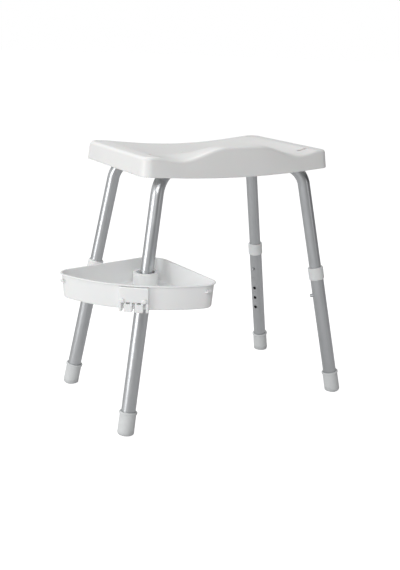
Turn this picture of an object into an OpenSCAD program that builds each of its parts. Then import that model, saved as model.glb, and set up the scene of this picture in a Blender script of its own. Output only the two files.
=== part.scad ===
// Height-adjustable shower stool with a swivelling storage tray.
// Millimetres. X runs along the seat's long side, -Y is the front, +Z is up.
// The origin is on the floor, midway between the four feet.
// Each leg has its own frame: origin on the floor under the foot, local +Z up the tube,
// local +X toward the middle of the stool.

/* [Stance] */
// Distance between the left and right feet, centre to centre
stance_w = 500; // [420:1:600]
// Distance between the front and back feet, centre to centre
stance_d = 287; // [240:1:345]
// Lean of each leg from the vertical
leg_lean = 11.4; // [8:0.1:12]
// Direction in which each leg leans, measured from the long side
leg_turn = 28.2; // [24:0.1:33]

/* [Seat] */
// Length of the seat's top face
seat_w = 414; // [345:1:500]
// Depth of the seat's top face
seat_d = 268; // [220:1:320]
// Height of the seat's corners above the floor with the legs fully out
seat_h = 528; // [515:1:600]
// Sideways offset of the seat from the middle of the feet
seat_x = -4; // [-8:0.5:8]
// Offset of the seat toward the back from the middle of the feet
seat_y = 4; // [-8:0.5:8]
// Height of the skirt at the corners
skirt_h = 36; // [34:1:48]
// Outward flare of the skirt at its lower edge
skirt_flare = 4; // [0:0.5:7]
// How far the skirt's lower edge sags in the middle of the front
skirt_sag = 8; // [0:0.5:12]
// How far the front edge bows out in the middle
front_bow = 8; // [0:0.5:14]
// Depth of the sitting dish
dish_depth = 12; // [6:0.5:13]
// Height of the front hump above the dish
hump_h = 26; // [10:0.5:32]
// Radius of the seat's corners in plan
corner_r = 16; // [14:1:40]
// Radius of the rounded top edge
edge_r = 7; // [4:0.5:10]
// Wall of the seat moulding
seat_wall = 3.5; // [2.5:0.1:5]
// Diameter of the drain holes
drain_d = 7; // [5:0.5:10]
// Distance between the two drain holes
drain_gap = 116; // [80:1:150]
// Length of each corner slot
slot_l = 26; // [14:1:36]
// Width of each corner slot
slot_w = 7; // [4:0.5:10]
// Distance from the seat's end to the middle of a back slot
slot_side = 24; // [20:1:34]
// How much further in the front slots are
slot_step = 16; // [0:1:30]
// Distance from the back edge to the back slots
slot_back = 14; // [12:1:24]
// Distance from the front edge to the front slots
slot_front = 34; // [24:1:50]

/* [Pan] */
// Thickness of the pan that closes the seat from below
pan_t = 3; // [2:0.1:5]
// Depth of the gap between the seat's corners and the pan's underside
pan_drop = 21; // [20:0.5:26]
// Gap between the pan and the skirt
pan_gap = 1.2; // [0.5:0.1:3]

/* [Tubes] */
// Outer diameter of the lower tubes
lower_d = 28; // [26:0.1:34]
// Outer diameter of the upper tubes
upper_d = 25; // [20:0.1:25.2]
// Wall of both tubes
tube_wall = 1.2; // [1:0.1:1.4]
// Bend radius of the upper tubes
bend_r = 50; // [42:1:60]
// Length of each upper tube under the seat, past the bend
run_l = 70; // [50:1:84]
// Overlap of the two tubes below the button
tube_overlap = 32; // [15:1:40]
// Distance from the floor to the top of the collar, along the tube
collar_top = 284; // [260:1:320]

/* [Height setting] */
// Distance between the height holes
hole_pitch = 25.4; // [20:0.1:28]
// Number of height holes in each lower tube
hole_n = 5; // [3:1:5]
// Diameter of the height holes
hole_d = 7.6; // [6:0.1:9]
// Distance from the top of the collar down to the top hole
hole_drop = 61.4; // [50:0.1:75]
// Diameter of the spring button
button_d = 6.8; // [5:0.1:7.2]
// How far the button stands proud of the lower tube
button_out = 6; // [3:0.1:7]
// Thickness of the button's leaf spring
leaf_t = 0.8; // [0.5:0.1:1]
// Width of the button's leaf spring
leaf_w = 7.6; // [6:0.1:9]
// Length of the leaf spring's arms
leaf_l = 42; // [30:1:55]

/* [Collars and feet] */
// Height of the collars
collar_h = 26.4; // [20:0.1:32]
// Wall of the collars around the lower tube
collar_wall = 2; // [1.5:0.1:3]
// Height of the feet along the tube
foot_h = 45; // [36:1:60]
// How far the feet stand out from the lower tube at the top
foot_top_wall = 3.7; // [2.5:0.1:6]
// How far the feet stand out from the lower tube's line at the bottom
foot_low_wall = 2.3; // [1.8:0.1:5]
// Radius of the rounded edge of the sole
foot_edge = 6; // [3:0.5:8]
// Thickness of the sole under the tube
sole_t = 7; // [5:0.5:12]

/* [Tray] */
// Distance from the tray's virtual apex to its front edge
tray_reach = 214; // [190:1:225]
// Half of the angle between the tray's two straight sides
tray_half = 43; // [38:0.5:46]
// Radius of the tray's front edge
tray_front_r = 250; // [235:5:400]
// Radius of the two front corners
tray_corner_r = 25; // [18:1:34]
// Radius of the inner corner behind the leg
tray_apex_r = 38; // [28:1:45]
// Height of the tray
tray_h = 45; // [36:1:52]
// Height of the tray's underside above the floor
tray_z = 282; // [280:1:290]
// Wall of the tray
tray_wall = 2.2; // [1.6:0.1:3]
// How far the tray narrows from the rim to the floor
tray_draft = 4; // [0:0.5:6]
// Width of the rim's outward lip
lip_w = 2.6; // [1:0.1:4]
// Thickness of the rim's lip
lip_t = 2; // [1:0.1:3]
// Diameter of the hub around the leg
hub_d = 48; // [44:1:54]
// Height of the hub above the tray's underside
hub_h = 29; // [20:1:36]
// Distance from the virtual apex to the hub
hub_back = 65; // [60:1:72]
// Sideways offset of the hub from the tray's middle
hub_side = -5; // [-8:0.5:8]
// Direction in which the tray points at rest
tray_turn = -128.4; // [-180:0.1:180]
// Width of the front panel
panel_w = 52; // [40:1:64]
// Distance along the front from its middle to the middle of the panel
panel_side = 7; // [-20:1:20]
// How far the front panel stands out from the wall
panel_out = 6; // [3:0.5:9]

/* [Fits] */
// Gap around a tube that a plastic piece is pressed on
press_gap = 0.05; // [0.02:0.01:0.1]
// Radial gap between the collar's lip and the upper tube
slide_gap = 0.3; // [0.2:0.05:0.5]
// Radial gap between the tray's hub and its pivot
swivel_gap = 0.35; // [0.2:0.05:0.6]

/* [Hidden] */
$fn = 96;

seat_white = "#e9e9e6";
trim_white = "#dcdddd";
alloy = "#b9bbbd";
foot_grey = "#d3d4d4";
steel = "#9a9c9e";

// side of the stool that each leg stands on: [x sign, y sign]
FL = [-1, -1];
FR = [1, -1];
BL = [-1, 1];
BR = [1, 1];
LEGS = [FL, FR, BL, BR];

lower_r = lower_d / 2;
upper_r = upper_d / 2;
lower_bore = lower_r - tube_wall;
upper_bore = upper_r - tube_wall;
bend_a = 90 - leg_lean;
pan_z = seat_h - pan_drop;
// the level run is a touch thicker than the rest of the tube, as it is pressed to size after bending
run_swell = 0.1;
tube_seat_gap = 0.3;
run_r = upper_r + run_swell;
run_z = pan_z - run_r - tube_seat_gap;
bend_in = bend_r - bend_r * cos(bend_a);
bend_s = (run_z + bend_in * sin(leg_lean)) / cos(leg_lean) - bend_r * sin(bend_a);
run_out = bend_in * cos(leg_lean) + (bend_s + bend_r * sin(bend_a)) * sin(leg_lean);
button_s = collar_top - hole_drop;
run_lap = 2;
clamp_l = 30;
clamp_out = 34;
clamp_ear = 13;
clamp_t = 4;
clamp_wall = 3;
screw_r = 2;
screw_gap = 0.03;
head_r = 4;
head_t = 2.6;
post_r = 5;

function inward(leg) = [-leg[0] * cos(leg_turn), -leg[1] * sin(leg_turn)];
function heading(leg) = atan2(inward(leg)[1], inward(leg)[0]);
function foot_at(leg) = [leg[0] * stance_w / 2, leg[1] * stance_d / 2];
function on_leg(leg, z) = foot_at(leg) + inward(leg) * z * tan(leg_lean);

module leg_frame(leg) {
    at = foot_at(leg);
    translate([at[0], at[1], 0]) rotate([0, leg_lean, heading(leg)]) children();
}

// frame at distance d along a tube's level run, local +X toward the middle of the stool
module run_frame(leg, d) {
    at = foot_at(leg) + inward(leg) * (run_out + d);
    translate([at[0], at[1], run_z]) rotate([0, 0, heading(leg)]) children();
}

module ring(r_out, r_in, h) {
    difference() {
        cylinder(r = r_out, h = h);
        translate([0, 0, -1]) cylinder(r = r_in, h = h + 2);
    }
}

// ---- seat: closed rings of points around a rounded rectangle ----
corner_steps = 8;
long_steps = 20;
deep_steps = 12;
function smooth(t) = let (c = min(max(t, 0), 1)) c * c * (3 - 2 * c);
function arc_pts(cx, cy, r, a0) =
    [for (i = [0:corner_steps - 1]) let (a = a0 + 90 * i / corner_steps)
        [cx + r * cos(a), cy + r * sin(a)]];
function line_pts(p, q, n) = [for (i = [0:n - 1]) p + (q - p) * i / n];
// rounded rectangle with half sizes a and b and corner radius r, counter-clockwise
function outline(a, b, r) = concat(
    arc_pts(a - r, b - r, r, 0), line_pts([a - r, b], [r - a, b], long_steps),
    arc_pts(r - a, b - r, r, 90), line_pts([-a, b - r], [-a, r - b], deep_steps),
    arc_pts(r - a, r - b, r, 180), line_pts([r - a, -b], [a - r, -b], long_steps),
    arc_pts(a - r, r - b, r, 270), line_pts([a, r - b], [a, b - r], deep_steps));
function bow(p, b) = [p[0], p[1] - (p[1] < 0 ? front_bow * (1 - pow(2 * p[0] / seat_w, 2))
    * smooth(-p[1] / b) : 0)];
// height of the sitting face: a dish that spans the seat, and a hump at the front
function dish(p) =
    let (t = min(abs(p[0]) / (0.43 * seat_w), 1), v = smooth(0.5 + p[1] / seat_d))
    -dish_depth * (v * pow(1 - t * t, 1.25) + (1 - v) * (1 - pow(t, 4)));
function hump(p) = hump_h * smooth((0.34 * seat_w - abs(p[0])) / (0.25 * seat_w))
    * smooth((-p[1] - 0.04 * seat_d) / (0.42 * seat_d));
function top_z(p) = seat_h + dish(p) + hump(p);
function skirt_z(p) = seat_h - skirt_h
    - (p[1] < 0
        ? skirt_sag * pow(max(1 - pow(2 * p[0] / seat_w, 2), 0), 1.2) * smooth(-2.2 * p[1] / seat_d)
        : 0);

half_w = seat_w / 2;
half_d = seat_d / 2;
face_scales = [0.1, 0.2, 0.3, 0.4, 0.5, 0.6, 0.7, 0.79, 0.87, 0.94, 1];
edge_angles = [0:15:90];
function grown(d) = [for (p = outline(half_w - edge_r + d, half_d - edge_r + d,
    max(corner_r - edge_r + d, 1))) bow(p, half_d)];
// one skin of the seat, inset by w from the outside: the face, the rounded edge, the skirt
function skin(w) = let (r = edge_r - w) concat(
    [for (k = face_scales) [for (p = grown(0)) let (q = p * k) [q[0], q[1], top_z(q) - w]]],
    [for (a = edge_angles) if (a > 0) let (o = grown(r * sin(a)), i = grown(0))
        [for (n = [0:len(o) - 1]) [o[n][0], o[n][1], top_z(i[n]) - edge_r + r * cos(a)]]],
    [for (k = [0.5, 1]) let (o = grown(r + skirt_flare * k), i = grown(0))
        [for (n = [0:len(o) - 1])
            let (hi = top_z(i[n]) - edge_r) [o[n][0], o[n][1], hi + (skirt_z(i[n]) - hi) * k]]]);

function ring_faces(rows, n) = [for (j = [0:rows - 2]) for (i = [0:n - 1])
    let (a = j * n + i, b = j * n + (i + 1) % n) each [[a, b, b + n], [a, b + n, a + n]]];
function fan(first, n, apex, flip) = [for (i = [0:n - 1])
    let (a = first + i, b = first + (i + 1) % n) flip ? [apex, a, b] : [apex, b, a]];

// closed solid from a stack of rings of n points with a cap point at each end
module ring_solid(rings, cap0, cap1) {
    n = len(rings[0]);
    rows = len(rings);
    pts = concat([for (r = rings) each r], [cap0, cap1]);
    polyhedron(points = pts, faces = concat(
        ring_faces(rows, n),
        fan(0, n, n * rows, false),
        fan(n * (rows - 1), n, n * rows + 1, true)));
}

function reversed(v) = [for (i = [len(v) - 1:-1:0]) v[i]];

module seat_frame() {
    translate([seat_x, seat_y, 0]) children();
}

module slot_cut(x, y) {
    translate([x, y, seat_h - 16]) {
        for (e = [-1, 1]) translate([e * (slot_l - slot_w) / 2, 0, 0]) cylinder(d = slot_w, h = 30, $fn = 24);
        translate([-(slot_l - slot_w) / 2, -slot_w / 2, 0]) cube([slot_l - slot_w, slot_w, 30]);
    }
}

module seat_shell() {
    outer = skin(0);
    inner = skin(seat_wall);
    color(seat_white) seat_frame() difference() {
        ring_solid(concat(outer, reversed(inner)),
            [0, 0, top_z([0, 0])], [0, 0, top_z([0, 0]) - seat_wall]);
        for (s = [-1, 1])
            translate([s * drain_gap / 2, 0, seat_h - 40])
                cylinder(d = drain_d, h = 60, $fn = 24);
        for (s = [-1, 1]) {
            slot_cut(s * (half_w - slot_side), half_d - slot_back);
            slot_cut(s * (half_w - slot_side - slot_step), slot_front - half_d);
        }
    }
}

// ---- pieces under the seat ----
pan_w = seat_w - 2 * (seat_wall + pan_gap);
pan_d = seat_d - 2 * (seat_wall + pan_gap);
pan_r = corner_r - seat_wall;
post_spots = [for (x = [-0.4, 0, 0.4]) for (y = [-0.36, 0.36]) [x * seat_w, y * seat_d]];

module for_clamp_screws() {
    for (leg = LEGS) for (e = [-1, 1])
        run_frame(leg, clamp_out) translate([0, e * (run_r + clamp_wall + clamp_ear / 2), 0]) children();
}

module seat_pan() {
    cut_h = 2 * pan_t;
    color(trim_white) difference() {
        seat_frame() translate([0, 0, pan_z]) linear_extrude(pan_t) hull()
            for (x = [-1, 1]) for (y = [-1, 1])
                translate([x * (pan_w / 2 - pan_r), y * (pan_d / 2 - pan_r)]) circle(pan_r, $fn = 32);
        for_clamp_screws() cylinder(r = screw_r + screw_gap, h = 60, $fn = 32);
        seat_frame() translate([0, 0, pan_z - pan_t / 2]) {
            for (p = post_spots)
                translate([p[0], p[1], 0])
                    cylinder(r = screw_r + screw_gap, h = cut_h, $fn = 32);
            for (s = [-1, 1])
                translate([s * drain_gap / 2, 0, 0])
                    cylinder(d = drain_d + 4, h = cut_h, $fn = 32);
        }
    }
}

// height of a post's top: a little under the lowest point of the seat's inner face over it
post_gap = 0.8;
function post_top(p) = min([for (a = [0:30:330])
    top_z([p[0] + post_r * cos(a), p[1] + post_r * sin(a)])]) - seat_wall - post_gap;

module seat_posts() {
    color(seat_white) seat_frame() for (p = post_spots)
        translate([p[0], p[1], pan_z + pan_t])
            ring(post_r, screw_r + screw_gap, post_top(p) - pan_z - pan_t);
}

module seat_screws() {
    color(steel) seat_frame() for (p = post_spots) translate([p[0], p[1], pan_z - head_t]) {
        cylinder(r = head_r, h = head_t);
        cylinder(r = screw_r, h = post_top(p) - pan_z + head_t - post_gap);
    }
}

module clamp_screws() {
    color(steel) for_clamp_screws() {
        translate([0, 0, run_r + tube_seat_gap - clamp_t - head_t]) cylinder(r = head_r, h = head_t);
        translate([0, 0, run_r + tube_seat_gap - clamp_t]) cylinder(r = screw_r, h = clamp_t + pan_t);
    }
}

module tube_clamp(leg) {
    flat = run_r + tube_seat_gap;
    half_y = run_r + clamp_wall + clamp_ear;
    color(trim_white) run_frame(leg, clamp_out) difference() {
        union() {
            translate([-clamp_l / 2, -half_y, flat - clamp_t]) cube([clamp_l, 2 * half_y, clamp_t]);
            translate([-clamp_l / 2, 0, 0]) rotate([0, 90, 0]) cylinder(r = run_r + clamp_wall, h = clamp_l);
            translate([-clamp_l / 2, -run_r - clamp_wall, 0])
                cube([clamp_l, 2 * (run_r + clamp_wall), flat]);
        }
        translate([-clamp_l, 0, 0]) rotate([0, 90, 0]) cylinder(r = run_r + press_gap, h = 2 * clamp_l);
        translate([-clamp_l, -run_r - press_gap, 0]) cube([2 * clamp_l, 2 * (run_r + press_gap), 40]);
        translate([-clamp_l, -2 * half_y, flat]) cube([2 * clamp_l, 4 * half_y, 40]);
        for (e = [-1, 1]) translate([0, e * (run_r + clamp_wall + clamp_ear / 2), 0])
            cylinder(r = screw_r + screw_gap, h = 40, $fn = 32);
    }
}

// ---- legs ----
tube_foot_s = sole_t;
lower_top_s = collar_top - 2;
upper_low_s = button_s - tube_overlap;

module upper_tube(leg) {
    color(alloy) leg_frame(leg) difference() {
        union() {
            translate([0, 0, upper_low_s]) ring(upper_r, upper_bore, bend_s - upper_low_s);
            translate([bend_r, 0, bend_s]) rotate([90, 0, 180]) rotate_extrude(angle = bend_a)
                translate([bend_r, 0]) difference() {
                    circle(upper_r);
                    circle(upper_bore);
                }
            translate([bend_in, 0, bend_s + bend_r * sin(bend_a)]) rotate([0, bend_a, 0])
                translate([0, 0, -run_lap]) ring(run_r, upper_bore - run_swell, run_l + run_lap);
        }
        translate([0, 0, button_s]) rotate([0, 90, 0]) cylinder(d = button_d + 0.4, h = 2 * upper_r);
    }
}

plug_r = upper_bore - run_swell - press_gap;

module tube_plug(leg) {
    color(foot_grey) run_frame(leg, run_l - 8) rotate([0, 90, 0]) {
        ring(plug_r, plug_r - 2, 8);
        translate([0, 0, 8]) cylinder(r = run_r, h = 2);
    }
}

module lower_tube(leg) {
    color(alloy) leg_frame(leg) difference() {
        translate([0, 0, tube_foot_s]) ring(lower_r, lower_bore, lower_top_s - tube_foot_s);
        for (i = [0:hole_n - 1]) translate([0, 0, button_s - i * hole_pitch])
            rotate([0, 90, 0]) cylinder(d = hole_d, h = 2 * lower_r);
    }
}

// outline of a collar, from the tube out: a ring with eased ends and a lip over the tube's end
module collar_profile() {
    low = collar_top - collar_h;
    r = lower_r + collar_wall;
    e = 1;
    polygon([
        [lower_r + press_gap, low], [r - e, low], [r, low + e], [r, collar_top - e], [r - e, collar_top],
        [upper_r + slide_gap, collar_top], [upper_r + slide_gap, lower_top_s + press_gap],
        [lower_r + press_gap, lower_top_s + press_gap]
    ]);
}

module collar(leg) {
    color(trim_white) leg_frame(leg) rotate_extrude() collar_profile();
}

// the front left leg's pivot: a level flange and an upright spigot that the tray turns on, which sit
// on the collar and have a leaning bore for the upper tube
pivot_z = tray_z + 10;
pivot_at = on_leg(FL, pivot_z);
flange_t = 3;
flange_r = hub_d / 2;
flange_gap = 0.4;
cone_h = 6;
spigot_r = 16.8;
spigot_h = 20;

module tray_pivot() {
    flange_top = cone_h + flange_t;
    color(trim_white) difference() {
        translate([pivot_at[0], pivot_at[1], tray_z - flange_gap - flange_top]) rotate([0, 0, 100])
            rotate_extrude() polygon([
                [0, 0], [spigot_r, 0], [flange_r, cone_h], [flange_r, flange_top],
                [spigot_r, flange_top], [spigot_r, flange_top + spigot_h], [0, flange_top + spigot_h]
            ]);
        leg_frame(FL) rotate([0, 0, 50]) {
            cylinder(r = lower_r + collar_wall + press_gap, h = collar_top + press_gap);
            translate([0, 0, collar_top - 40]) cylinder(r = upper_r + slide_gap, h = 120);
        }
    }
}

module foot(leg) {
    low = -6;
    rim = 1.6;
    r1 = lower_d / 2 + foot_low_wall;
    r2 = lower_d / 2 + foot_top_wall;
    bore = lower_r + press_gap;
    color(foot_grey) difference() {
        leg_frame(leg) rotate([0, 0, 90]) rotate_extrude() polygon(concat(
            [[0, low + 4]],
            [for (a = [-90:15:0])
                [r1 - foot_edge + foot_edge * cos(a), low + 4 + foot_edge + foot_edge * sin(a)]],
            [[r2 - rim, foot_h - 5], [r2, foot_h - 4], [r2, foot_h - 1], [r2 - 1, foot_h]],
            [[bore + 1, foot_h], [bore, foot_h - 2], [bore, sole_t], [0, sole_t]]));
        translate([foot_at(leg)[0] - 50, foot_at(leg)[1] - 50, -40]) cube([100, 100, 40]);
    }
}

// ---- height buttons ----
dome = 3;
flange_x = upper_bore - 2.2;
button_tip = lower_r + button_out;

module spring_button(leg) {
    r = button_d / 2;
    color(steel) leg_frame(leg) translate([0, 0, button_s]) rotate([0, 90, 0]) rotate_extrude()
        polygon(concat(
            [[0, flange_x - 1.2], [r + 1.2, flange_x - 1.2], [r + 1.2, flange_x], [r, flange_x]],
            [for (a = [0:15:75]) [r * cos(a), button_tip - dome + dome * sin(a)]],
            [[0, button_tip]]));
}

module button_leaf(leg) {
    front = flange_x - 1.3;
    back = -(upper_bore - 1);
    mid = (front + back) / 2;
    r = (front - back) / 2;
    color(steel) leg_frame(leg) translate([0, 0, button_s]) rotate([90, 0, 0])
        translate([0, 0, -leaf_w / 2]) linear_extrude(leaf_w) {
            translate([front - leaf_t, -6]) square([leaf_t, leaf_l + 6]);
            translate([back, -6]) square([leaf_t, leaf_l + 6]);
            translate([mid, leaf_l]) difference() {
                circle(r);
                circle(r - leaf_t);
                translate([-2 * r, -2 * r]) square([4 * r, 2 * r]);
            }
        }
}

// ---- tray ----
// plan outline inset by w: two straight sides, a tight inner corner and a bowed front
front_x = tray_reach - tray_front_r;
// centre of a front corner: on a line parallel to the side, inside the front arc by the corner's radius
function tray_corner() =
    let (rc = tray_corner_r, ux = cos(tray_half), uy = sin(tray_half),
        px = rc * uy - front_x, py = -rc * ux,
        b = px * ux + py * uy, c = px * px + py * py - pow(tray_front_r - rc, 2),
        t = -b + sqrt(b * b - c))
    [px + t * ux + front_x, py + t * uy];
function tray_outline(w) =
    let (a = tray_half, ra = tray_apex_r - w, rc = tray_corner_r - w, rf = tray_front_r - w,
        fx = front_x, cx = tray_corner()[0], cy = tray_corner()[1],
        fa = atan2(cy, cx - fx), va = tray_apex_r / sin(a),
        half = concat(
            [for (i = [0:9]) let (g = fa * i / 10) [fx + rf * cos(g), rf * sin(g)]],
            [for (i = [0:8]) let (g = fa + (90 + a - fa) * i / 8) [cx + rc * cos(g), cy + rc * sin(g)]],
            [for (i = [0:5]) let (g = 90 + a + (90 - a) * i / 6) [va + ra * cos(g), ra * sin(g)]]))
    concat(half, [[va - ra, 0]], [for (i = [len(half) - 1:-1:1]) [half[i][0], -half[i][1]]]);
function tray_ring(w, z) = [for (p = tray_outline(w)) [p[0], p[1], z]];

tray_edge = 3;
rim_inset = 0.6;

module tray_frame() {
    translate([pivot_at[0], pivot_at[1], tray_z]) rotate([0, 0, tray_turn])
        translate([-hub_back, -hub_side, 0]) children();
}

module storage_tray() {
    e = tray_edge;
    floor_c = hub_back + 50;
    color(seat_white) tray_frame() difference() {
        union() {
            ring_solid(
                reversed([
                    tray_ring(tray_draft + e, 0), tray_ring(tray_draft + 0.8, 0.8), tray_ring(tray_draft, e),
                    tray_ring(rim_inset, tray_h - lip_t - 1), tray_ring(-lip_w, tray_h - lip_t),
                    tray_ring(-lip_w, tray_h - 0.6), tray_ring(0.6 - lip_w, tray_h),
                    tray_ring(tray_wall - 0.6, tray_h), tray_ring(tray_wall, tray_h - 0.6),
                    tray_ring(tray_draft + tray_wall, e + tray_wall),
                    tray_ring(tray_draft + tray_wall + e, tray_wall)
                ]), [floor_c, 0, tray_wall], [floor_c, 0, 0]);
            translate([hub_back, hub_side, 0]) cylinder(d = hub_d, h = hub_h);
        }
        translate([hub_back, hub_side, -1]) cylinder(r = spigot_r + swivel_gap, h = hub_h + 2);
    }
}

// inset of the tray's outer wall at height z
function wall_inset(z) =
    tray_draft + (rim_inset - tray_draft) * (z - tray_edge) / (tray_h - lip_t - 1 - tray_edge);

// a slab on the front wall from angle a0 to a1 of the front arc, heights z0 to z1, standing out by w
module front_slab(a0, a1, z0, z1, w) {
    gap = 0.15;
    ease = 1;
    translate([front_x, 0, 0]) rotate([0, 0, a0]) rotate_extrude(angle = a1 - a0, $fn = 360) polygon([
        [tray_front_r - wall_inset(z0) + gap, z0],
        [tray_front_r + w - ease, z0],
        [tray_front_r + w, z0 + ease],
        [tray_front_r + w, z1 - ease],
        [tray_front_r + w - ease, z1],
        [tray_front_r - wall_inset(z1) + gap, z1]
    ]);
}

panel_a = 180 * panel_w / (PI * tray_front_r);
panel_low = 15;
panel_top = tray_h - lip_t - 1.3;
comb_low = -3;
// the comb's teeth, each as a start and end share of the panel's width
comb_teeth = [[0, 0.09], [0.18, 0.45], [0.55, 0.82], [0.91, 1]];
knob_r = 4.2;
knob_out = 3;

// the raised panel on the front wall, with two round knobs and a comb of hanging teeth
module tray_front_panel() {
    slot_h = 2.5;
    turn = 180 * panel_side / (PI * tray_front_r);
    color(seat_white)
    tray_frame()
    translate([front_x, 0, 0]) rotate([0, 0, turn]) translate([-front_x, 0, 0]) {
        front_slab(-panel_a / 2, panel_a / 2, panel_low, panel_top, panel_out);
        for (s = [-1, 1]) translate([front_x, 0, 0]) rotate([0, 0, s * panel_a * 0.37])
            translate([tray_front_r, 0, panel_low + knob_r - 1]) rotate([0, 90, 0]) {
                cylinder(r = knob_r, h = panel_out + knob_out - 1);
                cylinder(r = knob_r - 1, h = panel_out + knob_out);
            }
        for (t = comb_teeth)
            difference() {
                front_slab((t[0] - 0.5) * panel_a, (t[1] - 0.5) * panel_a,
                    comb_low, panel_low + 0.5, panel_out - 1.5);
                if (t[1] - t[0] > 0.1)
                    translate([front_x, 0, 0])
                        rotate([0, 0, (t[0] + t[1] - 1) / 2 * panel_a])
                            translate([tray_front_r + panel_out - 3.2, -3.5, panel_low - slot_h - 1])
                                cube([5, 7, slot_h]);
            }
    }
}

// a small cloth hook on the wall at each front corner
module tray_hooks() {
    hook_w = 9;
    hook_t = 2.5;
    hook_h = 8;
    reach = 7;
    z = tray_h - 15;
    color(seat_white) tray_frame() for (s = [-1, 1])
        translate([tray_corner()[0], s * tray_corner()[1], z]) rotate([0, 0, s * 42])
            translate([tray_corner_r - wall_inset(z + hook_h) + 0.2, -hook_w / 2, 0]) {
                cube([hook_t, hook_w, hook_h]);
                cube([reach, hook_w, hook_t]);
                translate([reach - hook_t, 0, 0]) cube([hook_t, hook_w, 7]);
            }
}

seat_shell();
seat_pan();
seat_posts();
upper_tube(FL);  // upper_tube_fl
upper_tube(FR);  // upper_tube_fr
upper_tube(BL);  // upper_tube_bl
upper_tube(BR);  // upper_tube_br
tube_plug(FL);  // tube_plug_fl
tube_plug(FR);  // tube_plug_fr
tube_plug(BL);  // tube_plug_bl
tube_plug(BR);  // tube_plug_br
tube_clamp(FL);  // tube_clamp_fl
tube_clamp(FR);  // tube_clamp_fr
tube_clamp(BL);  // tube_clamp_bl
tube_clamp(BR);  // tube_clamp_br
clamp_screws();
seat_screws();
lower_tube(FL);  // lower_tube_fl
lower_tube(FR);  // lower_tube_fr
lower_tube(BL);  // lower_tube_bl
lower_tube(BR);  // lower_tube_br
tray_pivot();
collar(FL);  // collar_fl
collar(FR);  // collar_fr
collar(BL);  // collar_bl
collar(BR);  // collar_br
foot(FL);  // foot_fl
foot(FR);  // foot_fr
foot(BL);  // foot_bl
foot(BR);  // foot_br
spring_button(FL);  // spring_button_fl
spring_button(FR);  // spring_button_fr
spring_button(BL);  // spring_button_bl
spring_button(BR);  // spring_button_br
button_leaf(FL);  // button_leaf_fl
button_leaf(FR);  // button_leaf_fr
button_leaf(BL);  // button_leaf_bl
button_leaf(BR);  // button_leaf_br
storage_tray();
tray_front_panel();
tray_hooks();
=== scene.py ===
"""Shower stool with a swivelling storage tray: its looks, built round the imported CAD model.

Shapes are in millimetres while they are worked out, and become metres when they go into a mesh.
"""

import math

import bpy
import numpy as np
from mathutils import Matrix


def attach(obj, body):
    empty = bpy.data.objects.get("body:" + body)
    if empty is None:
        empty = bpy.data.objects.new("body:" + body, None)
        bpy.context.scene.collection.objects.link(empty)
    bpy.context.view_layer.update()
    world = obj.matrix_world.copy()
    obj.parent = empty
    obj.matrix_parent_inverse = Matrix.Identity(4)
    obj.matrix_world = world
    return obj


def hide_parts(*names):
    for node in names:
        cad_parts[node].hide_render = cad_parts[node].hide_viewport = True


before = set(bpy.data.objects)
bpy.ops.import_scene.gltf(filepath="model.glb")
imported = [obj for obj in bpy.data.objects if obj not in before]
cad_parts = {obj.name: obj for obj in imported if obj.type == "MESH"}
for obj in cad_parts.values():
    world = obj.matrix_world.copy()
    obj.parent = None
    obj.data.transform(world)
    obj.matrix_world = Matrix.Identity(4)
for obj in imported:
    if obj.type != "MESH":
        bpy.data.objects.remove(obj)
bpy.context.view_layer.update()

MM = 0.001

# ---- sizes of the real stool, as in the CAD model, in millimetres ----
STANCE_W, STANCE_D = 500, 287
LEAN, LEG_TURN = math.radians(11.4), math.radians(28.2)
LEGS = {"fl": (-1, -1), "fr": (1, -1), "bl": (-1, 1), "br": (1, 1)}

SEAT_W, SEAT_D, SEAT_H = 414, 268, 528
SEAT_X, SEAT_Y = -4, 4
SKIRT_H, SKIRT_FLARE, SKIRT_SAG = 36, 4, 8
FRONT_BOW, DISH_DEPTH, HUMP_H = 8, 12, 26
CORNER_R, EDGE_R, SEAT_WALL = 16, 7, 3.5
DRAIN_D, DRAIN_GAP = 7, 116
SLOT_L, SLOT_W = 26, 7
SLOT_SIDE, SLOT_STEP, SLOT_BACK, SLOT_FRONT = 24, 16, 14, 34

TRAY_REACH, TRAY_HALF, TRAY_FRONT_R = 214, math.radians(43), 250
TRAY_CORNER_R, TRAY_APEX_R = 25, 38
TRAY_H, TRAY_Z, TRAY_WALL, TRAY_DRAFT = 45, 282, 2.2, 4
LIP_W, LIP_T, RIM_INSET, TRAY_EDGE = 2.6, 2, 0.6, 3
HUB_D, HUB_H, HUB_BACK, HUB_SIDE = 48, 29, 65, -5
HUB_BORE = 17.15
TRAY_TURN = math.radians(-128.4)
PANEL_W, PANEL_OUT, PANEL_LOW, PANEL_SIDE = 52, 6, 15, 7


def foot_of(leg):
    """Middle of a foot on the floor."""
    return np.array([LEGS[leg][0] * STANCE_W / 2, LEGS[leg][1] * STANCE_D / 2, 0.0])


def heading_of(leg):
    """Direction on the floor in which a leg leans, toward the middle of the stool."""
    return math.atan2(-LEGS[leg][1] * math.sin(LEG_TURN), -LEGS[leg][0] * math.cos(LEG_TURN))


def on_leg(leg, z):
    """Where a leg's middle line is at height z."""
    turn, slope = heading_of(leg), math.tan(LEAN)
    return foot_of(leg) + z * np.array([slope * math.cos(turn), slope * math.sin(turn), 1.0])


# ---- surfaces ----
def smooth(t):
    """Smooth step from 0 to 1: t squared times (3 - 2t)."""
    c = np.clip(t, 0, 1)
    return c * c * (3 - 2 * c)


def arc(a0, a1, steps, last=False):
    """Angles in radians from a0 to a1, given in degrees."""
    return np.radians(np.linspace(a0, a1, steps + last, endpoint=last))


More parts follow.
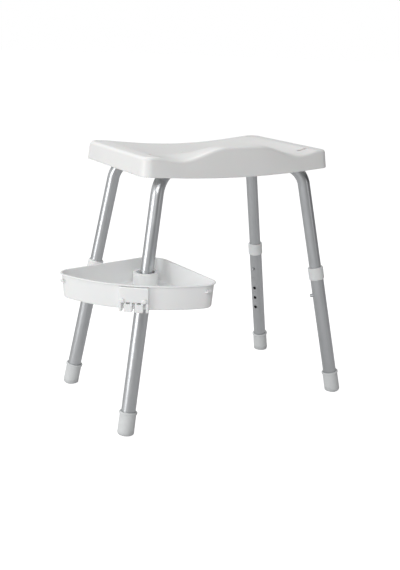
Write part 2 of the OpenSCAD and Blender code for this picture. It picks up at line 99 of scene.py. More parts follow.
def rounded(corner, long, deep):
    """A rounded rectangle as corner places C and outward directions U, counter-clockwise.
    With half sizes a and b and corner radius r, its outline is C * (a - r, b - r) + U * r."""
    places, ways = [], []
    corners = [(1, 1), (-1, 1), (-1, -1), (1, -1), (1, 1)]
    for k, steps in enumerate((long, deep, long, deep)):
        here, there = corners[k], corners[k + 1]
        turn = arc(90 * k, 90 * k + 90, corner)
        places.append(np.tile(np.array(here, float), (corner, 1)))
        ways.append(np.stack([np.cos(turn), np.sin(turn)], 1))
        t = np.linspace(0, 1, steps, endpoint=False)[:, None]
        places.append(np.array(here, float) + (np.array(there, float) - np.array(here, float)) * t)
        side = math.radians(90 * k + 90)
        ways.append(np.tile([math.cos(side), math.sin(side)], (steps, 1)))
    return np.concatenate(places), np.concatenate(ways)


def surface(name, rows, cap0=None, cap1=None, loop=False):
    """A closed mesh from a grid of points: rows of rings, each row a ring of the same number of points.
    A cap closes an end of the stack with a fan to one point, and loop joins the last row to the first."""
    rows = np.asarray(rows, float)
    count, n = rows.shape[:2]
    points = rows.reshape(-1, 3)
    j = np.arange(count if loop else count - 1)[:, None]
    i = np.arange(n)[None, :]
    a, b = j * n + i, j * n + (i + 1) % n
    up = ((j + 1) % count) * n
    c, d = up + (i + 1) % n, up + i
    faces = np.stack([a, b, c, d], -1).reshape(-1, 4).tolist()
    around = np.arange(n)
    for cap, first, flip in ((cap0, 0, True), (cap1, (count - 1) * n, False)):
        if cap is not None:
            tip = len(points)
            points = np.vstack([points, cap])
            e, f = first + around, first + (around + 1) % n
            fan = np.stack([np.full(n, tip), f, e] if flip else [np.full(n, tip), e, f], 1)
            faces += fan.tolist()
    halves = ((t[0], t[1], t[2]) for q in faces for t in ((q[0], q[1], q[2]), (q[0], q[2], q[-1])))
    triangles = np.array([t for t in halves if len(set(t)) == 3])
    p, q, r = (points[triangles[:, k]] for k in range(3))
    if np.einsum("ij,ij->i", p, np.cross(q, r)).sum() < 0:
        faces = [f[::-1] for f in faces]
    mesh = bpy.data.meshes.new(name)
    mesh.from_pydata((points * MM).tolist(), [], faces)
    mesh.validate()
    piece = bpy.data.objects.new(name, mesh)
    bpy.context.scene.collection.objects.link(piece)
    return piece


def join(name, parts):
    """Several closed shells as one piece."""
    mesh = bpy.data.meshes.new(name)
    points, faces, first = [], [], 0
    for part in parts:
        points += [tuple(v.co) for v in part.data.vertices]
        faces += [[first + k for k in f.vertices] for f in part.data.polygons]
        first = len(points)
        bpy.data.objects.remove(part)
    mesh.from_pydata(points, [], faces)
    piece = bpy.data.objects.new(name, mesh)
    bpy.context.scene.collection.objects.link(piece)
    return piece


def cut(piece, cutter):
    """Takes the cutter's shape out of the piece, and removes the cutter."""
    knife = piece.modifiers.new("cut", "BOOLEAN")
    knife.operation, knife.solver, knife.object = "DIFFERENCE", "EXACT", cutter
    bpy.context.view_layer.update()
    graph = bpy.context.evaluated_depsgraph_get()
    result = bpy.data.meshes.new_from_object(piece.evaluated_get(graph))
    piece.modifiers.clear()
    piece.data = result
    bpy.data.objects.remove(cutter)
    return piece


def soften(piece, degrees=38):
    """Smooth shading, with a crease wherever two faces meet at more than this angle."""
    piece.data.shade_smooth()
    piece.data.set_sharp_from_angle(angle=math.radians(degrees))
    return piece


# ---- seat ----
AROUND, OUTWARD = rounded(14, 80, 48)


def dish(x, y):
    """Depth of the sitting dish: a wide bowl at the front edge that becomes a round one at the back."""
    t = np.minimum(np.abs(x) / (0.43 * SEAT_W), 1)
    v = smooth(0.5 + y / SEAT_D)
    return -DISH_DEPTH * (v * (1 - t * t) ** 1.25 + (1 - v) * (1 - t**4))


def hump(x, y):
    """Height of the rise between the thighs: one smooth step across by one from the middle to the front."""
    across = smooth((0.34 * SEAT_W - np.abs(x)) / (0.25 * SEAT_W))
    forward = smooth((-y - 0.04 * SEAT_D) / (0.42 * SEAT_D))
    return HUMP_H * across * forward


def top_z(p):
    return SEAT_H + dish(p[..., 0], p[..., 1]) + hump(p[..., 0], p[..., 1])


def skirt_z(p):
    """Lower edge of the skirt, which sags in the middle of the front."""
    across = np.maximum(1 - (2 * p[..., 0] / SEAT_W) ** 2, 0) ** 1.2
    sag = SKIRT_SAG * across * smooth(-2.2 * p[..., 1] / SEAT_D)
    return SEAT_H - SKIRT_H - np.where(p[..., 1] < 0, sag, 0)


def seat_ring(d):
    """The face's outline grown by d, with its front bowed out by a parabola."""
    half = np.array([SEAT_W / 2 - EDGE_R + d, SEAT_D / 2 - EDGE_R + d])
    r = max(CORNER_R - EDGE_R + d, 1)
    p = AROUND * (half - r) + OUTWARD * r
    out = FRONT_BOW * (1 - (2 * p[:, 0] / SEAT_W) ** 2) * smooth(-p[:, 1] / (SEAT_D / 2))
    p[:, 1] -= np.where(p[:, 1] < 0, out, 0)
    return p


def seat_skin(w):
    """One skin of the seat, inset by w: the face as scaled outlines, a quarter round and the flared skirt."""
    base = seat_ring(0)
    r = EDGE_R - w
    rows = []
    for k in np.linspace(0.02, 1, 46):
        q = base * k
        rows.append(np.column_stack([q, top_z(q) - w]))
    hi = top_z(base) - EDGE_R
    for a in arc(0, 90, 10, last=True)[1:]:
        rows.append(np.column_stack([seat_ring(r * math.sin(a)), hi + r * math.cos(a)]))
    ease = 1.2 if w == 0 else 0.6
    low = skirt_z(base) + ease
    for k in np.linspace(0, 1, 12)[1:]:
        rows.append(np.column_stack([seat_ring(r + SKIRT_FLARE * k), hi + (low - hi) * k]))
    for a in arc(0, 90, 4, last=True)[1:]:
        side = -1 if w == 0 else 1
        d = r + SKIRT_FLARE + side * ease * (1 - math.cos(a))
        rows.append(np.column_stack([seat_ring(d), low - ease * math.sin(a)]))
    return rows


def hole_cutter(name, x, y, length, width, ease=1.3):
    """A stadium-shaped plug, straight below the face and flared above it by a quarter round."""
    places, ways = rounded(8, 1, 1)
    z0 = float(top_z(np.array([x, y])))
    levels = [(0, z0 - 30)]
    for a in arc(0, 90, 6, last=True):
        levels.append((ease * (1 - math.cos(a)), z0 - ease + ease * math.sin(a)))
    levels.append((ease, z0 + 12))
    rows = []
    for grow, z in levels:
        r = width / 2 + grow
        ring = places * [max(length / 2 - width / 2, 0.001), 0.001] + ways * r + [x, y]
        rows.append(np.column_stack([ring, np.full(len(ring), z)]) + [SEAT_X, SEAT_Y, 0])
    ends = [[x + SEAT_X, y + SEAT_Y, levels[k][1]] for k in (0, -1)]
    return surface(name, rows, *ends)


def make_seat():
    """The seat moulding: two skins joined at the skirt's lower edge, with drain holes and slots."""
    middle = float(top_z(np.zeros(2)))
    rows = seat_skin(0) + seat_skin(SEAT_WALL)[::-1]
    shift = np.array([SEAT_X, SEAT_Y, 0])
    ends = [shift + [0, 0, middle], shift + [0, 0, middle - SEAT_WALL]]
    seat = surface("seat_moulding", np.array(rows) + shift, *ends)
    spots = [(s * DRAIN_GAP / 2, 0, DRAIN_D, DRAIN_D) for s in (-1, 1)]
    for s in (-1, 1):
        spots.append((s * (SEAT_W / 2 - SLOT_SIDE), SEAT_D / 2 - SLOT_BACK, SLOT_L, SLOT_W))
        spots.append((s * (SEAT_W / 2 - SLOT_SIDE - SLOT_STEP), SLOT_FRONT - SEAT_D / 2, SLOT_L, SLOT_W))
    plugs = [hole_cutter(f"plug_{k}", *spot) for k, spot in enumerate(spots)]
    cut(seat, join("plugs", plugs))
    return soften(seat)


# ---- tray, in its own frame until it is placed ----
FRONT_X = TRAY_REACH - TRAY_FRONT_R


def tray_corner():
    """Centre of a front corner: a corner's radius in from the side and from the front arc."""
    ux, uy = math.cos(TRAY_HALF), math.sin(TRAY_HALF)
    px, py = TRAY_CORNER_R * uy - FRONT_X, -TRAY_CORNER_R * ux
    b = px * ux + py * uy
    c = px * px + py * py - (TRAY_FRONT_R - TRAY_CORNER_R) ** 2
    t = -b + math.sqrt(b * b - c)
    return px + t * ux + FRONT_X, py + t * uy


CORNER_X, CORNER_Y = tray_corner()


def tray_line():
    """The tray's outline as points B and outward ways U: front arc, corner, straight side, inner corner."""
    front = math.degrees(math.atan2(CORNER_Y, CORNER_X - FRONT_X))
    side = math.degrees(TRAY_HALF) + 90
    apex = TRAY_APEX_R / math.sin(TRAY_HALF)
    bases, ways = [], []
    for centre, radius, a0, a1, steps in (
        ((FRONT_X, 0), TRAY_FRONT_R, 0, front, 36),
        ((CORNER_X, CORNER_Y), TRAY_CORNER_R, front, side, 22),
    ):
        turn = arc(a0, a1, steps, last=centre[1] > 0)
        u = np.stack([np.cos(turn), np.sin(turn)], 1)
        bases.append(np.array(centre) + radius * u)
        ways.append(u)
    turn = arc(side, 180, 16, last=True)
    u = np.stack([np.cos(turn), np.sin(turn)], 1)
    inner = np.array([apex, 0]) + TRAY_APEX_R * u
    t = np.linspace(0, 1, 30)[1:-1, None]
    bases += [bases[-1][-1] + (inner[0] - bases[-1][-1]) * t, inner]
    ways += [np.tile(u[0], (len(t), 1)), u]
    b, u = np.concatenate(bases), np.concatenate(ways)
    flip = np.array([1, -1])
    return np.concatenate([b, b[-2:0:-1] * flip]), np.concatenate([u, u[-2:0:-1] * flip])


def wall_inset(z):
    """How far in the tray's outer wall stands at height z."""
    top = TRAY_H - LIP_T - 1
    return TRAY_DRAFT + (RIM_INSET - TRAY_DRAFT) * (z - TRAY_EDGE) / (top - TRAY_EDGE)


def placed(p):
    """From the tray's frame to the stool's: its hub goes over the front left leg, and it turns about that."""
    p = np.asarray(p, float) - [HUB_BACK, HUB_SIDE, 0]
    c, s = math.cos(TRAY_TURN), math.sin(TRAY_TURN)
    at = on_leg("fl", TRAY_Z + 10)
    x, y, z = p[..., 0], p[..., 1], p[..., 2]
    return np.stack([at[0] + c * x - s * y, at[1] + s * x + c * y, TRAY_Z + z], -1)


def quarter(cw, cz, rw, rz, a0, a1, steps):
    """Part of a round in the wall's section: inset and height of its points."""
    return [(cw + rw * math.cos(a), cz + rz * math.sin(a)) for a in arc(a0, a1, steps, last=True)]


def make_tray():
    """The tray: its wall's section carried round its outline, with a rolled rim, and a hub with a bore."""
    base, way = tray_line()
    e, lip = TRAY_EDGE, LIP_T
    top = TRAY_H - lip - 1
    inside = TRAY_DRAFT + TRAY_WALL
    section = [(w, 0) for w in (100, 70, 45, 25, 14)]
    section += quarter(TRAY_DRAFT + e, e, -e, -e, 90, 0, 6)
    section += [(wall_inset(z), z) for z in np.linspace(e, top, 9)[1:]]
    section += quarter(-LIP_W + 0.9, TRAY_H - lip + 0.5, -0.9, -0.5, 90, 0, 3)
    section += quarter(-LIP_W + 0.9, TRAY_H - 0.9, -0.9, 0.9, 0, 90, 5)
    section += quarter(TRAY_WALL - 0.9, TRAY_H - 0.9, 0.9, 0.9, 90, 0, 5)
    k = np.linspace(0, 1, 9)[1:-1]
    drop = TRAY_H - 0.9 - e - TRAY_WALL
    section += list(zip(TRAY_WALL + (inside - TRAY_WALL) * k, TRAY_H - 0.9 - drop * k))
    section += quarter(inside + e, e + TRAY_WALL, -e, -e, 0, 90, 6)
    section += [(w, TRAY_WALL) for w in (16, 26, 45, 70, 100)]
    centre = np.array([HUB_BACK + 50, 0])
    rows = []
    for w, z in section:
        ring = base - way * min(w, 16)
        if w > 16:
            ring = centre + (ring - centre) * (1 - (w - 16) / 110)
        rows.append(np.column_stack([ring, np.full(len(ring), z)]))
    bowl = surface("bowl", placed(rows), placed([*centre, 0]), placed([*centre, TRAY_WALL]))
    turn = arc(0, 360, 96)
    circle = np.stack([np.cos(turn), np.sin(turn)], 1)

    def lathe(name, profile, **ends):
        hub_axis = [HUB_BACK, HUB_SIDE]
        ring = [np.column_stack([hub_axis + circle * r, np.full(len(turn), z)]) for r, z in profile]
        return surface(name, placed(ring), **ends)

    bore = [(HUB_BORE, -4), (HUB_BORE, 12)]
    ends = {f"cap{k}": placed([HUB_BACK, HUB_SIDE, bore[k][1]]) for k in (0, 1)}
    cut(bowl, lathe("bore", bore, **ends))
    r, fillet, edge = HUB_D / 2, 2.5, 1.2
    quarter_turn = arc(0, 90, 6, last=True)
    wall = [(r + fillet * (1 - math.sin(a)), TRAY_WALL + fillet - fillet * math.cos(a)) for a in quarter_turn]
    wall += [(r, z) for z in (12, 20, HUB_H - edge)]
    quarter_turn = arc(0, 90, 5, last=True)[1:]
    wall += [(r - edge + edge * math.cos(a), HUB_H - edge + edge * math.sin(a)) for a in quarter_turn]
    wall += [(HUB_BORE + 1 - math.sin(a), HUB_H - 1 + math.cos(a)) for a in arc(0, 90, 5, last=True)]
    wall += [(HUB_BORE, 18), (HUB_BORE, 1), (r + 2, 1)]
    hub = lathe("hub", wall, loop=True)
    return soften(join("tray_moulding", [bowl, hub]))


def on_front(s, radius, z):
    """A point on the front wall: s along its arc from the middle, radius from the arc's centre, height z."""
    g = (np.asarray(s) + PANEL_SIDE) / TRAY_FRONT_R
    point = [FRONT_X + radius * np.cos(g), radius * np.sin(g), np.broadcast_to(z, g.shape)]
    return placed(np.stack(point, -1))


def pad(name, s0, s1, z0, z1, out, ease, corner, sunk=1.0, base=None):
    """A raised pad on the front wall: a rounded outline that goes out and turns over in a quarter round."""
    places, ways = rounded(6, 14, 10)
    middle = [(s0 + s1) / 2, (z0 + z1) / 2]

    def ring(inset):
        half = np.array([(s1 - s0) / 2 - inset, (z1 - z0) / 2 - inset])
        r = max(corner - inset, 0.2)
        return middle + places * (half - r) + ways * r

    flat = ring(0)
    floor = TRAY_FRONT_R - wall_inset(flat[:, 1]) - sunk if base is None else np.full(len(flat), base)
    rim = TRAY_FRONT_R + out - ease
    rows = [on_front(flat[:, 0], floor + (rim - floor) * k, flat[:, 1]) for k in (0, 0.5, 1)]
    for a in arc(0, 90, 6, last=True)[1:]:
        p = ring(ease * (1 - math.cos(a)))
        rows.append(on_front(p[:, 0], rim + ease * math.sin(a), p[:, 1]))
    for k in (0.66, 0.33):
        p = middle + (ring(ease) - middle) * k
        rows.append(on_front(p[:, 0], TRAY_FRONT_R + out, p[:, 1]))
    first = TRAY_FRONT_R - wall_inset(middle[1]) - sunk if base is None else base
    ends = [on_front(middle[0], radius, middle[1]) for radius in (first, TRAY_FRONT_R + out)]
    return surface(name, rows, *ends)


def knob(name, s, z, r, out):
    """A round knob on the panel: a short drum with a domed face."""
    turn = arc(0, 360, 40)
    profile = [(r, TRAY_FRONT_R), (r, TRAY_FRONT_R + out - 2)]
    for a in arc(0, 90, 5, last=True)[1:]:
        profile.append((r - 1.4 * (1 - math.cos(a)), TRAY_FRONT_R + out - 2 + 1.4 * math.sin(a)))
    profile += [((r - 1.4) * k, TRAY_FRONT_R + out - 0.6 + 0.6 * (1 - k * k)) for k in (0.75, 0.5, 0.25)]
    rows = [on_front(s + q * np.cos(turn), radius, z + q * np.sin(turn)) for q, radius in profile]
    return surface(name, rows, on_front(s, TRAY_FRONT_R, z), on_front(s, TRAY_FRONT_R + out, z))


def make_panel():
    """The front panel with its two knobs, and the comb of teeth that hangs below it."""
    half = PANEL_W / 2
    top = TRAY_H - LIP_T - 1.3
    low = -3
    parts = [pad("panel", -half, half, PANEL_LOW, top, PANEL_OUT, 1.4, 2)]
    parts += [knob(f"knob_{s}", s * 0.74 * half, PANEL_LOW + 3.2, 4.2, PANEL_OUT + 3) for s in (-1, 1)]
    for k, (a, b) in enumerate(((0, 0.09), (0.18, 0.45), (0.55, 0.82), (0.91, 1))):
        s0, s1 = (a - 0.5) * PANEL_W, (b - 0.5) * PANEL_W
        parts.append(pad(f"tooth_{k}", s0, s1, low, PANEL_LOW - 3.6 if b - a > 0.1 else PANEL_LOW + 0.4,
                         PANEL_OUT - 1.5, 0.9, 1))
        if b - a > 0.1:
            low_end, high_end = PANEL_LOW - 4.4, PANEL_LOW + 0.6
            for e, (c, d) in enumerate(((s0, s0 + 3.6), (s1 - 3.6, s1))):
                parts.append(pad(f"root_{k}_{e}", c, d, low_end, high_end, PANEL_OUT - 1.6, 0.5, 0.6))
    return soften(join("tray_panel_moulding", parts))


def make_hooks():
    """The two cloth hooks: a flat strip's rounded section carried along a J, out from the wall and up."""
    places, ways = rounded(5, 8, 3)
    parts = []
    for s in (-1, 1):
        z = TRAY_H - 15
        turn = math.radians(42) * s
        out = np.array([math.cos(turn), math.sin(turn), 0])
        along = np.array([-math.sin(turn), math.cos(turn), 0])
        start = TRAY_CORNER_R - wall_inset(z) - 0.6
        bend = arc(-90, 0, 8, last=True)
        path = [(start, 1.25), (start + 2, 1.25)]
        path += [(start + 3.9 + 1.8 * math.cos(a), 3.05 + 1.8 * math.sin(a)) for a in bend]
        path += [(start + 5.7, 7 - 1.2)]
        path = np.array(path)
        step = np.gradient(path, axis=0)
        step /= np.linalg.norm(step, axis=1)[:, None]
        centre = np.array([CORNER_X, s * CORNER_Y, z])
        rows = []
        for (d, h), (td, th) in zip(path, step):
            n = out * -th + np.array([0, 0, td])
            section = places * [4.5 - 1, 1.15 - 1] + ways * 1.0
            rows.append(centre + out * d + [0, 0, h] + section[:, :1] * along + section[:, 1:] * n)
        d, h = path[-1] + step[-1] * 1.1
        last = rows[-1]
        mid = last.mean(0)
        onward = out * step[-1][0] + [0, 0, step[-1][1]]
        for k in (0.85, 0.5):
            rows.append(mid + (last - mid) * k + onward * (1.1 * (1 - k)))
        ends = [placed(centre + out * a + [0, 0, b]) for a, b in (path[0], (d, h))]
        parts.append(surface(f"hook_{s}", placed(rows), *ends))
    return soften(join("tray_hook_mouldings", parts), 50)


seat = make_seat()
tray = make_tray()
panel = make_panel()
hooks = make_hooks()

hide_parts("seat_shell")
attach(seat, "stool_frame")
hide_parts("storage_tray")
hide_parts("tray_front_panel")
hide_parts("tray_hooks")
for piece in (tray, panel, hooks):
    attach(piece, "tray")


# ---- materials ----
def paint(code):
    """An sRGB hex colour as linear light, with alpha."""
    parts = [int(code[k:k + 2], 16) / 255 for k in (1, 3, 5)]
    return tuple(c / 12.92 if c <= 0.04045 else ((c + 0.055) / 1.055) ** 2.4 for c in parts) + (1.0,)


def node(tree, kind, sockets=None, **settings):
    """Adds one node. Each socket is given a number or colour, or is linked to another node's output."""
    added = tree.nodes.new("ShaderNode" + kind)
    for key, value in settings.items():
        setattr(added, key, value)
    for key, value in (sockets or {}).items():
        if isinstance(value, bpy.types.NodeSocket):
            tree.links.new(value, added.inputs[key])
        else:
            added.inputs[key].default_value = value
    return added


def blank(name):
    """A new material with only its output, and its tree."""
    material = bpy.data.materials.new(name)
    material.use_nodes = True
    material.node_tree.nodes.clear()
    return material, material.node_tree


def stretched(tree, place, scale):
    """A pattern's coordinates, scaled differently each way."""
    return node(tree, "Mapping", {"Vector": place, "Scale": scale}, vector_type="POINT").outputs[0]


def mixed(tree, share, light, shade):
    """A colour between two hex colours."""
    return node(tree, "Mix", {0: share.outputs[0], 6: paint(light), 7: paint(shade)}, data_type="RGBA")


def moulded_plastic(name, light, shade, rough, grain=0.0011, relief=0.00006, glow=0.05):
    """Injection-moulded polypropylene. The mould's spark-eroded grain breaks up its gloss, the colour drifts
    a little with the flow, and handling leaves faint fine scuffs. Grain is drawn at about 1 mm, coarser than
    the real 0.3 mm, so that it shows."""
    material, tree = blank(name)
    place = node(tree, "TexCoord").outputs["Object"]
    flow = node(tree, "TexNoise", {"Vector": place, "Scale": 12, "Detail": 3, "Roughness": 0.5})
    colour = mixed(tree, flow, light, shade)
    speck = node(tree, "TexNoise", {"Vector": place, "Scale": 1 / grain, "Detail": 2, "Roughness": 0.6})
    patch = node(tree, "TexNoise", {"Vector": place, "Scale": 45, "Detail": 4, "Roughness": 0.6})
    scuff = node(tree, "TexNoise", {
        "Vector": place, "Scale": 90, "Detail": 3, "Roughness": 0.55, "Distortion": 1.5,
    }, noise_type="RIDGED_MULTIFRACTAL")
    scuffed = node(tree, "MapRange", {0: scuff.outputs[0], 1: 0.75, 2: 1.3, 3: 0.0, 4: 0.07})
    uneven = node(tree, "MapRange", {0: patch.outputs[0], 1: 0.3, 2: 0.7, 3: rough - 0.04, 4: rough + 0.04})
    rubbed = node(tree, "Math", {0: uneven.outputs[0], 1: scuffed.outputs[0]}, operation="ADD")
    relief_out = node(tree, "Bump", {"Strength": 0.35, "Distance": relief, "Height": speck.outputs[0]})
    sink = node(tree, "Bump", {
        "Strength": 0.25, "Distance": 0.0004, "Height": flow.outputs[0], "Normal": relief_out.outputs[0],
    })
    shader = node(tree, "BsdfPrincipled", {
        "Base Color": colour.outputs[2], "Roughness": rubbed.outputs[0], "Normal": sink.outputs[0],
        "IOR": 1.49, "Subsurface Weight": glow, "Subsurface Scale": 0.003,
    })
    node(tree, "OutputMaterial", {"Surface": shader.outputs[0]})
    return material


def leg_place(tree, leg):
    """Object coordinates turned onto a leg: Z runs up the tube from the floor."""
    place = node(tree, "TexCoord").outputs["Object"]
    return node(tree, "Mapping", {
        "Vector": place, "Location": tuple(foot_of(leg) * MM), "Rotation": (0.0, LEAN, heading_of(leg)),
    }, vector_type="TEXTURE").outputs[0]


def anodised_aluminium(leg):
    """Extruded tube, clear satin anodised. The die leaves fine lines along it, drawn at 0.7 mm so that they
    show, and sliding and wiping leave short scuffs round it."""
    material, tree = blank(f"anodised_aluminium_{leg}")
    along = leg_place(tree, leg)
    drawn = stretched(tree, along, (1400.0, 1400.0, 12.0))
    line = node(tree, "TexNoise", {"Vector": drawn, "Scale": 1.0, "Detail": 3, "Roughness": 0.6})
    cloud = node(tree, "TexNoise", {"Vector": along, "Scale": 38, "Detail": 4, "Roughness": 0.6})
    wiped = stretched(tree, along, (60.0, 60.0, 1500.0))
    ring = node(tree, "TexNoise", {"Vector": wiped, "Scale": 1.0, "Detail": 3, "Roughness": 0.6})
    scuff = node(tree, "MapRange", {0: ring.outputs[0], 1: 0.58, 2: 0.72, 3: 0.0, 4: 0.06})
    colour = mixed(tree, line, "#c3c5c7", "#d1d3d5")
    uneven = node(tree, "MapRange", {0: cloud.outputs[0], 1: 0.3, 2: 0.7, 3: 0.30, 4: 0.38})
    rough = node(tree, "Math", {0: uneven.outputs[0], 1: scuff.outputs[0]}, operation="ADD")
    relief = node(tree, "Bump", {"Strength": 0.25, "Distance": 0.00004, "Height": line.outputs[0]})
    shader = node(tree, "BsdfPrincipled", {
        "Base Color": colour.outputs[2], "Metallic": 1.0, "Roughness": rough.outputs[0],
        "Normal": relief.outputs[0],
    })
    node(tree, "OutputMaterial", {"Surface": shader.outputs[0]})
    return material


def collar_plastic(leg):
    """Moulded nylon with fine turned rings round it, 1.6 mm apart, which give a soft horizontal banding."""
    material, tree = blank(f"moulded_nylon_collar_{leg}")
    along = leg_place(tree, leg)
    bands = node(tree, "TexWave", {"Vector": along, "Scale": 2 * math.pi / (20 * 0.0016), "Distortion": 0.0},
                 wave_type="BANDS", bands_direction="Z")
    speck = node(tree, "TexNoise", {"Vector": along, "Scale": 900, "Detail": 2, "Roughness": 0.6})
    grime = node(tree, "TexNoise", {"Vector": along, "Scale": 70, "Detail": 4, "Roughness": 0.6})
    colour = mixed(tree, grime, "#eceded", "#e2e3e3")
    rough = node(tree, "MapRange", {0: grime.outputs[0], 1: 0.3, 2: 0.7, 3: 0.4, 4: 0.5})
    ribs = node(tree, "Bump", {"Strength": 0.35, "Distance": 0.00025, "Height": bands.outputs["Fac"]})
    relief = node(tree, "Bump", {
        "Strength": 0.3, "Distance": 0.00005, "Height": speck.outputs[0], "Normal": ribs.outputs[0],
    })
    shader = node(tree, "BsdfPrincipled", {
        "Base Color": colour.outputs[2], "Roughness": rough.outputs[0], "Normal": relief.outputs[0],
        "IOR": 1.53, "Subsurface Weight": 0.05, "Subsurface Scale": 0.002,
    })
    node(tree, "OutputMaterial", {"Surface": shader.outputs[0]})
    return material


def foot_rubber(name):
    """Moulded grey thermoplastic rubber: a matt grain, and a slightly darker band round the sole, with a
    ragged upper edge.
    """
    material, tree = blank(name)
    place = node(tree, "TexCoord").outputs["Object"]
    height = node(tree, "SeparateXYZ", {0: place}).outputs["Z"]
    patch = node(tree, "TexNoise", {"Vector": place, "Scale": 110, "Detail": 4, "Roughness": 0.65})
    ragged = node(tree, "MapRange", {0: patch.outputs[0], 1: 0.3, 2: 0.7, 3: -0.004, 4: 0.004})
    edge = node(tree, "Math", {0: height, 1: ragged.outputs[0]}, operation="ADD")
    # darker towards the sole: the grey deepens below 11 mm above the floor, and is darkest below 2 mm
    darker_low = node(tree, "MapRange", {0: edge.outputs[0], 1: 0.002, 2: 0.011, 3: 0.55, 4: 0.0})
    tone = mixed(tree, patch, "#dcdede", "#d2d4d5")
    colour = node(tree, "Mix", {
        0: darker_low.outputs[0], 6: tone.outputs[2], 7: paint("#b4b6b7"),
    }, data_type="RGBA")
    rough = node(tree, "MapRange", {0: patch.outputs[0], 1: 0.3, 2: 0.7, 3: 0.52, 4: 0.66})
    speck = node(tree, "TexNoise", {"Vector": place, "Scale": 1300, "Detail": 2, "Roughness": 0.7})
    relief = node(tree, "Bump", {"Strength": 0.4, "Distance": 0.00008, "Height": speck.outputs[0]})
    shader = node(tree, "BsdfPrincipled", {
        "Base Color": colour.outputs[2], "Roughness": rough.outputs[0], "Normal": relief.outputs[0],
        "IOR": 1.5,
    })
    node(tree, "OutputMaterial", {"Surface": shader.outputs[0]})
    return material


def plain_metal(name, light, shade, rough, scale):
    """Plated or polished steel: a fine cloud in its colour and gloss from plating and handling."""
    material, tree = blank(name)
    place = node(tree, "TexCoord").outputs["Object"]
    cloud = node(tree, "TexNoise", {"Vector": place, "Scale": scale, "Detail": 4, "Roughness": 0.6})
    fine = node(tree, "TexNoise", {"Vector": place, "Scale": 1800, "Detail": 2, "Roughness": 0.5})
    colour = mixed(tree, cloud, light, shade)
    uneven = node(tree, "MapRange", {0: cloud.outputs[0], 1: 0.3, 2: 0.7, 3: rough, 4: rough + 0.1})
    relief = node(tree, "Bump", {"Strength": 0.15, "Distance": 0.00003, "Height": fine.outputs[0]})
    shader = node(tree, "BsdfPrincipled", {
        "Base Color": colour.outputs[2], "Metallic": 1.0, "Roughness": uneven.outputs[0],
        "Normal": relief.outputs[0],
    })
    node(tree, "OutputMaterial", {"Surface": shader.outputs[0]})
    return material


def dress(material, *names):
    """Gives CAD nodes a material, in each of their slots."""
    for name in names:
        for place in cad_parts[name].material_slots:
            place.material = material


seat_white = moulded_plastic("moulded_polypropylene_seat", "#efefee", "#e9e9e8", 0.33)
tray_white = moulded_plastic("moulded_polypropylene_tray", "#f0f1f1", "#eaebeb", 0.33, relief=0.00004)
pan_white = moulded_plastic(
    "moulded_polypropylene_pan", "#e0e1e0", "#d6d7d6", 0.5, grain=0.0014, relief=0.0001)
clamp_white = moulded_plastic("moulded_nylon_clamp", "#d9dada", "#cfd0d0", 0.5, grain=0.001, relief=0.00008)
pivot_white = moulded_plastic("moulded_nylon_pivot", "#eaebeb", "#e2e3e3", 0.4, grain=0.001, relief=0.00005)
plug_grey = moulded_plastic(
    "moulded_polyethylene_plug", "#c9cbcc", "#bfc1c2", 0.55, grain=0.0012, relief=0.0001)
rubber = foot_rubber("moulded_tpe_rubber_foot")
button_steel = plain_metal("polished_stainless_button", "#c4c6c8", "#b4b6b8", 0.16, 300)
screw_steel = plain_metal("zinc_plated_screw", "#b0b4b7", "#9fa3a6", 0.3, 260)
leaf_steel = plain_metal("blued_spring_steel_leaf", "#8b8f93", "#787c80", 0.28, 120)

seat.data.materials.append(seat_white)
for piece in (tray, panel, hooks):
    piece.data.materials.append(tray_white)
dress(pan_white, "seat_pan")
dress(seat_white, "seat_posts")
dress(pivot_white, "tray_pivot")
dress(screw_steel, "clamp_screws", "seat_screws")
for leg in LEGS:
    dress(anodised_aluminium(leg), f"upper_tube_{leg}", f"lower_tube_{leg}")
    dress(collar_plastic(leg), f"collar_{leg}")
    dress(clamp_white, f"tube_clamp_{leg}")
    dress(plug_grey, f"tube_plug_{leg}")
    dress(rubber, f"foot_{leg}")
    dress(button_steel, f"spring_button_{leg}")
    dress(leaf_steel, f"button_leaf_{leg}")


# ---- floor, light and camera ----
FLOOR_GLOW, FLOOR_SEEN = 0.15, 0.85


def make_floor():
    """A flat disc under the stool, wide enough to reach past every view's edge."""
    turn = arc(0, 360, 96)
    circle = np.stack([np.cos(turn), np.sin(turn), np.zeros(len(turn))], 1)
    mesh = bpy.data.meshes.new("studio_floor")
    points = np.concatenate([circle * r for r in (1.5, 6, 30)]) - [0, 0, 0.0004]
    n = len(turn)
    faces = [list(range(n))]
    for j in range(2):
        for i in range(n):
            a, b, step = j * n + i, j * n + (i + 1) % n, n
            faces.append([a, a + step, b + step, b])
    mesh.from_pydata(points.tolist(), [], faces)
    floor = bpy.data.objects.new("studio_floor", mesh)
    bpy.context.scene.collection.objects.link(floor)
    material, tree = blank("painted_studio_floor")
    place = node(tree, "TexCoord").outputs["Object"]
    cloud = node(tree, "TexNoise", {"Vector": place, "Scale": 3, "Detail": 3})
    colour = mixed(tree, cloud, "#bcbcbc", "#b8b8b8")
    seen = node(tree, "LightPath").outputs["Is Camera Ray"]
    glow = node(tree, "MapRange", {0: seen, 3: FLOOR_GLOW, 4: FLOOR_SEEN})
    shader = node(tree, "BsdfPrincipled", {
        "Base Color": colour.outputs[2], "Roughness": 0.7, "Emission Color": paint("#ffffff"),
        "Emission Strength": glow.outputs[0],
    })
    node(tree, "OutputMaterial", {"Surface": shader.outputs[0]})
    mesh.materials.append(material)


def softbox(name, at, aim, size, power):
    """A square lamp that faces a point."""
    lamp = bpy.data.lights.new(name, "AREA")
    lamp.shape, lamp.size, lamp.energy = "SQUARE", size, power
    box = bpy.data.objects.new(name, lamp)
    bpy.context.scene.collection.objects.link(box)
    box.location = at
    back = np.array(at, float) - np.array(aim, float)
    box.rotation_euler = (math.atan2(math.hypot(back[0], back[1]), back[2]), 0, math.atan2(back[0], -back[1]))


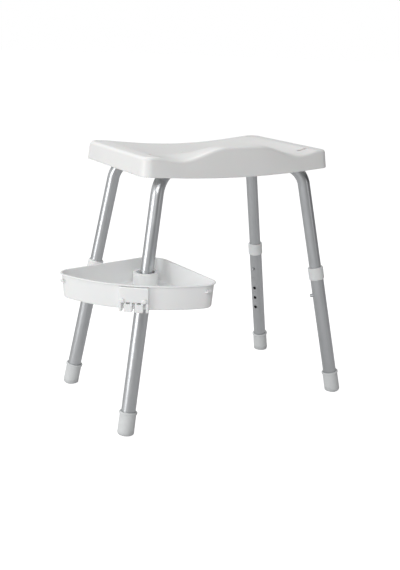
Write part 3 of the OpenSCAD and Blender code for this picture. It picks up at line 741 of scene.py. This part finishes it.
make_floor()
softbox("lamp_left", (-2.3, -0.3, 0.6), (0, 0, 0.3), 1.0, 12)
softbox("lamp_key", (-1.2, -1.9, 1.7), (0, 0, 0.3), 0.9, 19)
softbox("lamp_strip", (1.25, -2.0, 0.5), (0, 0, 0.4), 0.25, 1.2)
softbox("lamp_top", (-0.2, 0.5, 2.3), (0, 0, 0.4), 1.4, 16)

world = bpy.data.worlds.new("studio")
bpy.context.scene.world = world
world.use_nodes = True
SKY_LIGHT, SKY_SHADE, BACKDROP = 0.75, 0.06, 1.0
tree = world.node_tree
tree.nodes.clear()
seen = node(tree, "LightPath").outputs["Is Camera Ray"]
# the room is brighter to the left and behind, and darker to the front right
way = node(tree, "TexCoord").outputs["Generated"]
side = node(tree, "VectorMath", {0: way, 1: (0.8, -0.6, 0.0)}, operation="DOT_PRODUCT")
around = node(tree, "MapRange", {0: side.outputs["Value"], 1: -1.0, 2: 0.9, 3: SKY_LIGHT, 4: SKY_SHADE})
strength = node(tree, "MapRange", {0: seen, 3: around.outputs[0], 4: BACKDROP})
sky = node(tree, "Background", {"Color": paint("#ffffff"), "Strength": strength.outputs[0]})
node(tree, "OutputWorld", {"Surface": sky.outputs[0]})
bpy.context.scene.view_settings.view_transform = "Standard"

# the camera stands to the front left, a little above the seat, 1.83 m from the stool
CAM_AZ, CAM_EL, CAM_ROLL = -0.530, 0.266, 0.0345
CAM_DIST, CAM_TARGET_Z = 1826.5, 264.4
FOCAL, AXIS_X, AXIS_Y = 860.35, 205.5, 269.5
WIDE, TALL = 400, 570
SENSOR = 36


def make_camera():
    flat = math.cos(CAM_EL)
    back = np.array([math.sin(CAM_AZ) * flat, -math.cos(CAM_AZ) * flat, math.sin(CAM_EL)])
    right = np.array([math.cos(CAM_AZ), math.sin(CAM_AZ), 0])
    up = np.cross(back, right)
    c, s = math.cos(CAM_ROLL), math.sin(CAM_ROLL)
    axis_x, axis_y = right * c + up * s, up * c - right * s
    at = np.array([0, 0, CAM_TARGET_Z]) + back * CAM_DIST
    lens = bpy.data.cameras.new("camera")
    lens.sensor_width = SENSOR
    lens.lens = FOCAL / TALL * SENSOR
    lens.shift_x = (WIDE / 2 - AXIS_X) / TALL
    lens.shift_y = (AXIS_Y - TALL / 2) / TALL
    lens.clip_start, lens.clip_end = 0.05, 100
    camera = bpy.data.objects.new("camera", lens)
    bpy.context.scene.collection.objects.link(camera)
    columns = np.eye(4)
    columns[:3, 0], columns[:3, 1], columns[:3, 2], columns[:3, 3] = axis_x, axis_y, back, at * MM
    camera.matrix_world = columns.T.tolist()
    bpy.context.scene.camera = camera


make_camera()
